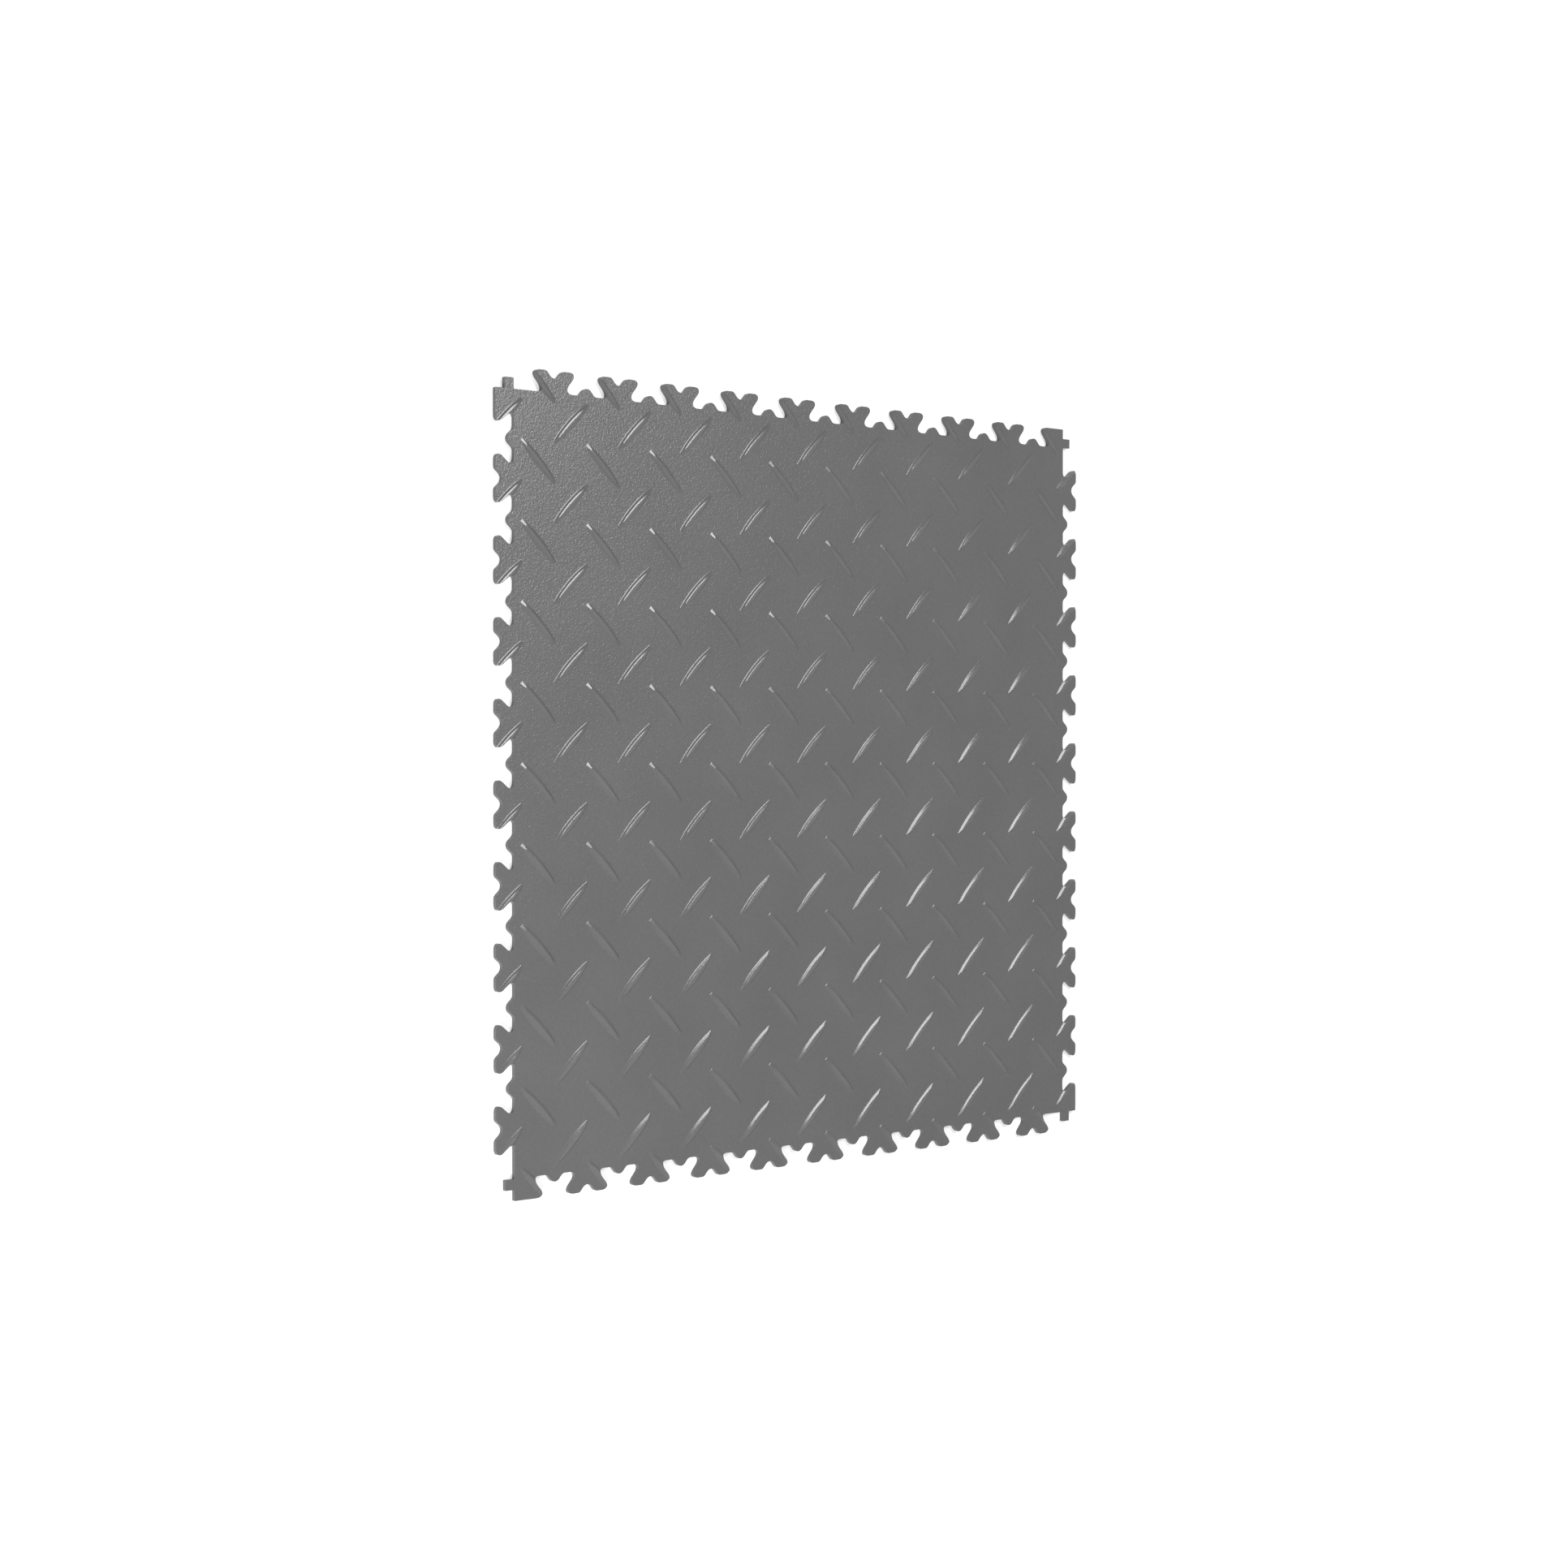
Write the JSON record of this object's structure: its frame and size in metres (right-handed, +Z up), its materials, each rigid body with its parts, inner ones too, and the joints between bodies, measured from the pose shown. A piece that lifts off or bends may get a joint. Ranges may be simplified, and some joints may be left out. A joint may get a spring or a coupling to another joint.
{
  "type": "interlocking pvc floor tile",
  "caption": "Square flexible PVC floor tile with a raised diamond tread and Y-shaped tabs along all edges that lock into the next tile.",
  "frame": {"origin": "centre of the underside, on the floor", "axes": "+X and +Y along the tile's edges, to the right and to the top as the picture shows it, +Z up out of the tread"},
  "size_m": [0.5134, 0.5134, 0.004],
  "materials": {
    "grey_pvc": "matte"
  },
  "bodies": {
    "root": {"floor_tile": "grey_pvc"}
  },
  "joints": []
}
